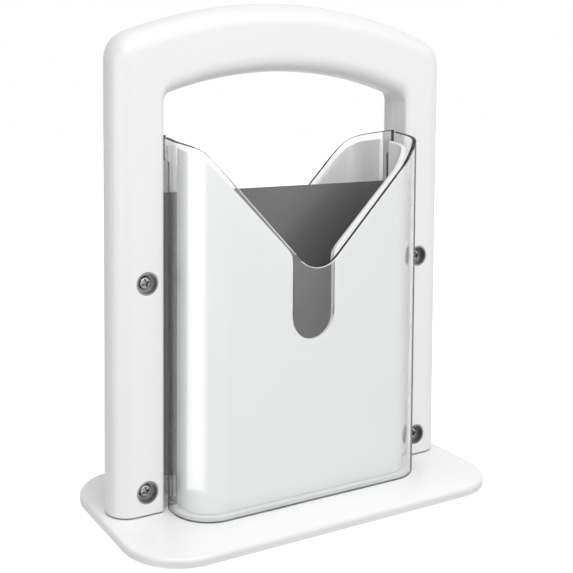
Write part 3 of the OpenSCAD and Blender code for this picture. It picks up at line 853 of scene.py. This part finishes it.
class SLICER_OT_handle(bpy.types.Operator):
    """Makes the two moulded halves of the arched handle"""

    bl_idname = "slicer.handle"
    bl_label = "Arched Handle"

    def execute(self, context):
        sizes = context.scene.slicer_handle
        screws = context.scene.slicer_screw
        white = moulded_plastic("handle_plastic", context.scene.slicer_colours.white, roughness=0.36)
        for name, front in (("handle_front_half", True), ("handle_rear_half", False)):
            piece = make_object(name + "_shell", [tube(self.half(sizes, front))])
            if front:
                self.sink_recesses(piece, sizes, screws)
            piece.data.set_sharp_from_angle(angle=HANDLE_SHARP)
            piece.data.materials.clear()
            piece.data.materials.append(white)
            even = piece.modifiers.new("Even", "WEIGHTED_NORMAL")
            even.keep_sharp = True
            stands_for(piece, "handle", name, "handle_plastic")
        return {"FINISHED"}

    def path(self, sizes):
        """The inner line I and the rim's middle line C, from leg end to leg end, with their normals.

        Both lines go up the leg, round their own corner and along their own circle over the grip, and
        matching points of the two carry one section. With them come the inset, which rounds the legs'
        ends, and the inner edge's radius, which goes over smoothly from the leg's to the grip's."""
        shoulder_x = sizes.half_width - sizes.shoulder
        crown = sizes.shoulder + shoulder_x * ARCH_SLANT / ARCH_ACROSS
        centre = sizes.top - crown
        shoulder_z = centre + shoulder_x * ARCH_UP / ARCH_ACROSS
        crown_in = crown - sizes.grip
        leg_in = sizes.half_width - sizes.leg
        corner_x = leg_in - sizes.inner_corner
        corner_z = centre + math.sqrt((crown_in - sizes.inner_corner) ** 2 - corner_x**2)
        rim_x = sizes.half_width - sizes.half_depth
        a = np.linspace(0, math.pi / 2, END_STEPS)
        leg = np.arange(1, LEG_STEPS + 1)
        turn = np.arange(1, SHOULDER_STEPS + 1)
        over = np.arange(1, GRIP_STEPS + 1)

        def line(x, top, lean, bend_x, bend, arc):
            """Points and normals of one line: up at x, round a bend at (bend_x, top), over the grip."""
            start = sizes.low + sizes.end_edge
            end = start - sizes.end_edge * np.cos(a)
            up = np.concatenate([end, start + (top - start) * leg / LEG_STEPS])
            straight = np.stack([np.full_like(up, x), up], -1)
            around = lean * turn / SHOULDER_STEPS
            grip = lean + (math.pi / 2 - lean) * over / GRIP_STEPS
            angles = np.concatenate([0 * up, around, grip])
            normals = np.stack([np.cos(angles), np.sin(angles)], -1)
            bent = np.array([bend_x, top]) + bend * normals[len(up):len(up) + SHOULDER_STEPS]
            arched = np.array([0, centre]) + arc * normals[-GRIP_STEPS:]
            return np.concatenate([straight, bent, arched]), normals

        lean = math.atan2(ARCH_UP, ARCH_ACROSS)
        lean_in = math.atan2(corner_z - centre, corner_x)
        slim = sizes.shoulder - sizes.half_depth
        c_at, c_n = line(rim_x, shoulder_z, lean, shoulder_x, slim, crown - sizes.half_depth)
        i_at, i_n = line(leg_in, corner_z, lean_in, corner_x, sizes.inner_corner, crown_in)
        inset = np.zeros(len(c_at))
        inset[:END_STEPS] = sizes.end_edge * (1 - np.sin(a))
        share = [0 * a, np.maximum(0, leg - 9) / 24, (3 + turn) / 40, np.minimum(40, 27 + over) / 40]
        share = np.concatenate(share)
        edge = sizes.leg_edge + (sizes.grip_edge - sizes.leg_edge) * share * share * (3 - 2 * share)

        def both(right, mirror=1):
            """The right half of a line or a list, and its mirror image."""
            return np.concatenate([right, (right * mirror)[-2::-1]])

        flip = np.array([-1, 1])
        return both(c_at, flip), both(c_n, flip), both(i_at, flip), both(-i_n, flip), both(inset), both(edge)

    def half(self, sizes, front):
        """One half as sections along the arch.

        A section starts at the seam on the round rim, C + r (cos a, sin a), goes on along the flat side,
        turns the inner edge on a small circle and comes back to the seam along the inner face."""
        c_at, c_n, i_at, i_n, inset, edge = self.path(sizes)
        inset = inset[:, None]
        edge = edge[:, None]
        side = -1 if front else 1
        seam = sizes.seam * side
        groove = sizes.seam_groove
        r = sizes.half_depth - inset

        def spot(at, normal, out, y):
            """A point of every section: out along the normal, and y from the middle to the half's side."""
            flat = at + normal * out
            depth = np.broadcast_to(y * side + MIDDLE_Y, out.shape)
            return np.concatenate([flat[:, :1], depth, flat[:, 1:]], 1)

        start = math.asin(seam / sizes.half_depth)
        ring = [spot(c_at, c_n, (r - groove) * math.cos(start), seam + 0 * r)]
        first = math.asin((seam + groove) / sizes.half_depth)
        for a in np.linspace(first, math.pi / 2, 22):
            ring.append(spot(c_at, c_n, r * math.cos(a), np.maximum(r * math.sin(a), seam + groove)))
        for f in np.linspace(0, 1, 5)[1:-1]:
            flat_at = c_at * (1 - f) + (i_at - i_n * edge) * f
            ring.append(spot(flat_at, c_n * 0, 0 * r, r))
        small = edge - inset
        flat_end = sizes.half_depth - edge
        for b in np.linspace(math.pi / 2, 0, 9):
            ring.append(spot(i_at, i_n, small * math.cos(b) - edge, flat_end + small * math.sin(b)))
        ring.append(spot(i_at, i_n, -inset, seam + groove + 0 * r))
        ring.append(spot(i_at, i_n, -inset - groove, seam + 0 * r))
        return np.stack(ring, 1)

    def sink_recesses(self, piece, sizes, screws):
        """Sinks the round recesses for the screws, each with a rounded lip."""
        face = MIDDLE_Y - sizes.half_depth
        lip = sizes.recess_lip
        deep = sizes.recess_deep
        clear = 2 * MM
        profile = [(0, -deep), (sizes.recess, -deep)]
        for a in np.linspace(0, math.pi / 2, 7):
            profile.append((sizes.recess + lip * (1 - math.cos(a)), -lip + lip * math.sin(a)))
        profile += [(sizes.recess + lip, clear), (0, clear)]
        parts = [moved(turned(profile, steps=72), (side * screws.x, face, z), (1, 0, 0), (0, 0, 1))
                 for side, _ in SIDES for z in (screws.lower, screws.upper)]
        cutter = make_object("recess_cutter", parts)
        cut = piece.modifiers.new("Recesses", "BOOLEAN")
        cut.operation = "DIFFERENCE"
        cut.solver = "EXACT"
        cut.object = cutter
        keep_modifiers(piece)
        bpy.data.objects.remove(cutter)


def cross_screw(sizes, head, head_height, shank, reach, countersunk):
    """A screw on the Z axis, its seat at the origin and its head towards +Z.

    The head is a superellipse turned round the axis, or a cone when countersunk. The cross recess is
    pressed in by d = deep max(arm(x, y), arm(y, x)), and an arm fades out over its width and length."""
    t = np.linspace(0, math.pi / 2, 46) ** 0.9 * (math.pi / 2) ** 0.1
    rim = 0.1 * MM
    cone = 1.75 * MM
    point = 1.4 * MM
    point_half = 0.3 * MM
    if countersunk:
        r = np.concatenate([np.linspace(0, head, 46), [head]])
        z = np.concatenate([np.zeros(46), [-rim]])
    else:
        r = head * np.sin(t) ** (2 / 3)
        z = head_height * np.clip(np.cos(t), 0, 1) ** (2 / 3)
    steps = 144
    a = np.linspace(0, 2 * math.pi, steps, endpoint=False)
    x = r[:, None] * np.cos(a)
    y = r[:, None] * np.sin(a)
    side_fade = 0.18 * MM
    end_fade = 0.8 * MM

    def arm(p, q):
        """How far a point is pressed in by the arms along q, which are a little narrower at their ends."""
        half = sizes.cross_wide * (1.15 - 0.35 * np.abs(q) / sizes.cross_half)
        wide = np.clip((half - np.abs(p)) / side_fade, 0, 1)
        long = np.clip((sizes.cross_half - np.abs(q)) / end_fade, 0, 1)
        return wide * long

    deep = sizes.cross_deep * np.maximum(arm(x, y), arm(y, x))
    cap = np.stack([x, y, z[:, None] - deep], -1)
    lower = [(r[-1], z[-1]), (shank, -cone if countersunk else 0), (shank, -reach),
             (point_half, -reach - point), (0, -reach - point)]
    return [sheet(cap, around=True), turned(lower, steps)]


class SLICER_OT_screws(bpy.types.Operator):
    """Makes the handle's screws and the stand's screws"""

    bl_idname = "slicer.screws"
    bl_label = "Screws"

    def execute(self, context):
        sizes = context.scene.slicer_screw
        steel = plated_steel("screw_steel", tuple(context.scene.slicer_colours.steel), roughness=0.3)
        seat = WASHER[1].y - sizes.seat
        across = (math.cos(sizes.cross_turn), 0, math.sin(sizes.cross_turn))
        up = (-math.sin(sizes.cross_turn), 0, math.cos(sizes.cross_turn))
        pan = cross_screw(sizes, sizes.head, sizes.head_height, sizes.shank, sizes.reach, False)
        flat = cross_screw(sizes, sizes.flat_head, 0, sizes.flat_shank, sizes.flat_reach, True)
        for side, side_name in SIDES:
            for z, row in ((sizes.lower, "lower"), (sizes.upper, "upper")):
                name = f"handle_screw_{row}_{side_name}"
                parts = [moved(part, (side * sizes.x, seat, z), across, up) for part in pan]
                self.place(name, parts, steel, "handle", "screw_steel")
        for side, side_name in SIDES:
            for row in ("front", "rear"):
                name = f"stand_screw_{row}_{side_name}"
                low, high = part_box(name)
                place = ((low.x + high.x) / 2, (low.y + high.y) / 2, low.z)
                parts = [moved(part, place, (1, 0, 0), (0, -1, 0)) for part in flat]
                self.place(name, parts, steel, "stand", "stand_screw_steel")
        return {"FINISHED"}

    def place(self, name, parts, steel, body, slot):
        """Makes one screw and puts it in its node's place."""
        piece = make_object(name + "_steel", parts)
        piece.data.set_sharp_from_angle(angle=SHARP)
        piece.data.materials.append(steel)
        stands_for(piece, body, name, slot)


class SLICER_OT_finishes(bpy.types.Operator):
    """Dresses the base plate, the feet, the blade and the washers"""

    bl_idname = "slicer.finishes"
    bl_label = "Finishes"

    def execute(self, context):
        colours = context.scene.slicer_colours
        dress("base_plate", moulded_plastic("base_plastic", colours.base, roughness=0.36))
        dress("blade", coated_steel("blade_coating", tuple(colours.coating)))
        rubber = foot_rubber("foot_rubber", tuple(colours.rubber))
        washer = plated_steel("washer_steel", tuple(colours.washer), roughness=0.4)
        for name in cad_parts:
            if name.startswith("foot_"):
                dress(name, rubber)
            if name.startswith("washer_"):
                dress(name, washer)
        return {"FINISHED"}


class SLICER_OT_stage(bpy.types.Operator):
    """Sets up the floor, the lamps, the surroundings and the camera"""

    bl_idname = "slicer.stage"
    bl_label = "Stage"

    def execute(self, context):
        stage = context.scene.slicer_stage
        context.scene.view_settings.view_transform = "Standard"
        self.floor(stage)
        self.surroundings(stage)
        lamps = {}
        for name, setting, place, aim, size in LAMPS:
            lamps[setting] = self.lamp(name, Vector(aim), Vector(place), size, getattr(stage, setting))
        for setting, state in (("key", "EXCLUDE"), ("fill", "EXCLUDE"), ("plate", "INCLUDE")):
            self.choose(lamps[setting], "base_plate", state)
        lamps["side"].visible_diffuse = False
        self.fade(lamps["side"], SIDE_FADE)
        self.camera(context, stage)
        return {"FINISHED"}

    def floor(self, stage):
        """A white floor that takes the shadow and lets mirrored rays pass to the white behind it.

        Its own light rises from floor_glow beside the object to 1, white, further away."""
        half_width = 3
        near = 0.12
        far = 0.3
        u = np.linspace(-half_width, half_width, 25)
        points = np.stack(np.broadcast_arrays(u[None, :], u[:, None], 0.0), -1)
        piece = make_object("floor", [sheet(points)])
        material, tree, shader = new_material("floor_paper")
        put(shader, Roughness=0.9, Specular_IOR_Level=0.1, Emission_Color=(1, 1, 1, 1))
        painted(tree, shader, noise(tree, scale=6, detail=2), stage.floor, darkest=0.995)
        place = node(tree, "ShaderNodeTexCoord")
        away = node(tree, "ShaderNodeVectorMath", operation="LENGTH")
        tree.links.new(place.outputs["Object"], away.inputs[0])
        rise = node(tree, "ShaderNodeMapRange", interpolation_type="SMOOTHSTEP")
        put(rise, From_Min=near, From_Max=far, To_Min=stage.floor_glow, To_Max=1.0)
        tree.links.new(away.outputs["Value"], rise.inputs["Value"])
        glow = node(tree, "ShaderNodeMath", operation="MULTIPLY")
        tree.links.new(rise.outputs["Result"], glow.inputs[0])
        tree.links.new(looked_at(tree), glow.inputs[1])
        tree.links.new(glow.outputs["Value"], shader.inputs["Emission Strength"])
        path = node(tree, "ShaderNodeLightPath")
        beyond = node(tree, "ShaderNodeBsdfTransparent")
        whole = mixed(tree, path.outputs["Is Glossy Ray"], shader.outputs["BSDF"], beyond.outputs["BSDF"])
        tree.links.new(whole, tree.nodes["Material Output"].inputs["Surface"])
        piece.data.materials.append(material)
        piece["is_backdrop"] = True

    def surroundings(self, stage):
        """White for what looks at the background, dimmer for what is lit by it."""
        world = bpy.data.worlds.new("surroundings")
        bpy.context.scene.world = world
        world.use_nodes = True
        tree = world.node_tree
        light = tree.nodes["Background"]
        put(light, Color=(1, 1, 1, 1), Strength=stage.ambient)
        seen = node(tree, "ShaderNodeBackground", Color=(1, 1, 1, 1), Strength=1.0)
        whole = mixed(tree, looked_at(tree), light.outputs["Background"], seen.outputs["Background"])
        tree.links.new(whole, tree.nodes["World Output"].inputs["Surface"])

    def lamp(self, name, aim, place, size, watts):
        """A lamp with the given width and height that looks at the aim."""
        data = bpy.data.lights.new(name, "AREA")
        data.shape = "RECTANGLE"
        data.size, data.size_y = size
        data.energy = watts
        made = bpy.data.objects.new(name, data)
        made.location = place
        made.rotation_euler = (aim - place).to_track_quat("-Z", "Y").to_euler()
        bpy.context.scene.collection.objects.link(made)
        return made

    def fade(self, lamp, share):
        """Lets a lamp's light fade out over a share of its width, on the side where its X is highest."""
        lamp.data.use_nodes = True
        tree = lamp.data.node_tree
        spot = node(tree, "ShaderNodeNewGeometry")
        parts = node(tree, "ShaderNodeSeparateXYZ")
        tree.links.new(spot.outputs["Parametric"], parts.inputs[0])
        rise = node(tree, "ShaderNodeMapRange", interpolation_type="SMOOTHSTEP")
        put(rise, From_Min=1, From_Max=1 - share)
        tree.links.new(parts.outputs["X"], rise.inputs["Value"])
        tree.links.new(rise.outputs["Result"], tree.nodes["Emission"].inputs["Strength"])

    def choose(self, lamp, name, state):
        """Lets a lamp light only one node, or everything but that node."""
        receivers = bpy.data.collections.new(lamp.name + "_receivers")
        receivers.objects.link(bpy.data.objects[name])
        receivers.collection_objects[0].light_linking.link_state = state
        lamp.light_linking.receiver_collection = receivers

    def camera(self, context, stage):
        """A camera that looks back, turned to the right and slightly down."""
        flat = math.cos(stage.down)
        ahead = Vector((math.sin(stage.turn) * flat, math.cos(stage.turn) * flat, -math.sin(stage.down)))
        level = Vector((math.cos(stage.turn), -math.sin(stage.turn), 0))
        raised = level.cross(ahead)
        right = level * math.cos(stage.roll) + raised * math.sin(stage.roll)
        up = right.cross(ahead)
        data = bpy.data.cameras.new("camera")
        data.sensor_width = 36
        data.lens = stage.lens
        data.shift_x = stage.shift_x
        data.shift_y = stage.shift_y
        made = bpy.data.objects.new("camera", data)
        axes = Matrix((right, up, -ahead)).transposed().to_4x4()
        made.matrix_world = Matrix.Translation(stage.place) @ axes
        context.scene.collection.objects.link(made)
        context.scene.camera = made


class SLICER_PT_panel(bpy.types.Panel):
    """Lists the slicer's sizes and the steps that make it"""

    bl_idname = "SLICER_PT_panel"
    bl_label = "Bagel Slicer"
    bl_space_type = "VIEW_3D"
    bl_region_type = "UI"
    bl_category = "Slicer"

    def draw(self, context):
        for group, kind in GROUPS.items():
            box = self.layout.box()
            box.label(text=kind.__doc__)
            for name in kind.__annotations__:
                box.prop(getattr(context.scene, group), name)
        for operator in OPERATORS:
            self.layout.operator(operator.bl_idname)


GROUPS = {
    "slicer_shield": ShieldSizes,
    "slicer_cradle": CradleSizes,
    "slicer_handle": HandleSizes,
    "slicer_screw": ScrewSizes,
    "slicer_colours": FinishColours,
    "slicer_stage": StageSettings,
}
OPERATORS = (SLICER_OT_shields, SLICER_OT_cradles, SLICER_OT_handle, SLICER_OT_screws, SLICER_OT_finishes,
             SLICER_OT_stage)


def register():
    """Registers the settings, the operators and the panel."""
    for group, kind in GROUPS.items():
        bpy.utils.register_class(kind)
        setattr(bpy.types.Scene, group, PointerProperty(type=kind))
    for kind in OPERATORS:
        bpy.utils.register_class(kind)
    bpy.utils.register_class(SLICER_PT_panel)


def unregister():
    """Takes back what register did."""
    bpy.utils.unregister_class(SLICER_PT_panel)
    for kind in reversed(OPERATORS):
        bpy.utils.unregister_class(kind)
    for group, kind in GROUPS.items():
        delattr(bpy.types.Scene, group)
        bpy.utils.unregister_class(kind)


def main():
    """Makes the whole slicer on its stage and works out the two boxes."""
    register()
    bpy.ops.slicer.shields()
    bpy.ops.slicer.cradles()
    bpy.ops.slicer.handle()
    bpy.ops.slicer.screws()
    bpy.ops.slicer.finishes()
    bpy.ops.slicer.stage()
    sizes = {"cad": cad_bounds, "visual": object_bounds()}
    {name: [list(corner) for corner in box] for name, box in sizes.items()}


if __name__ == "__main__":
    main()
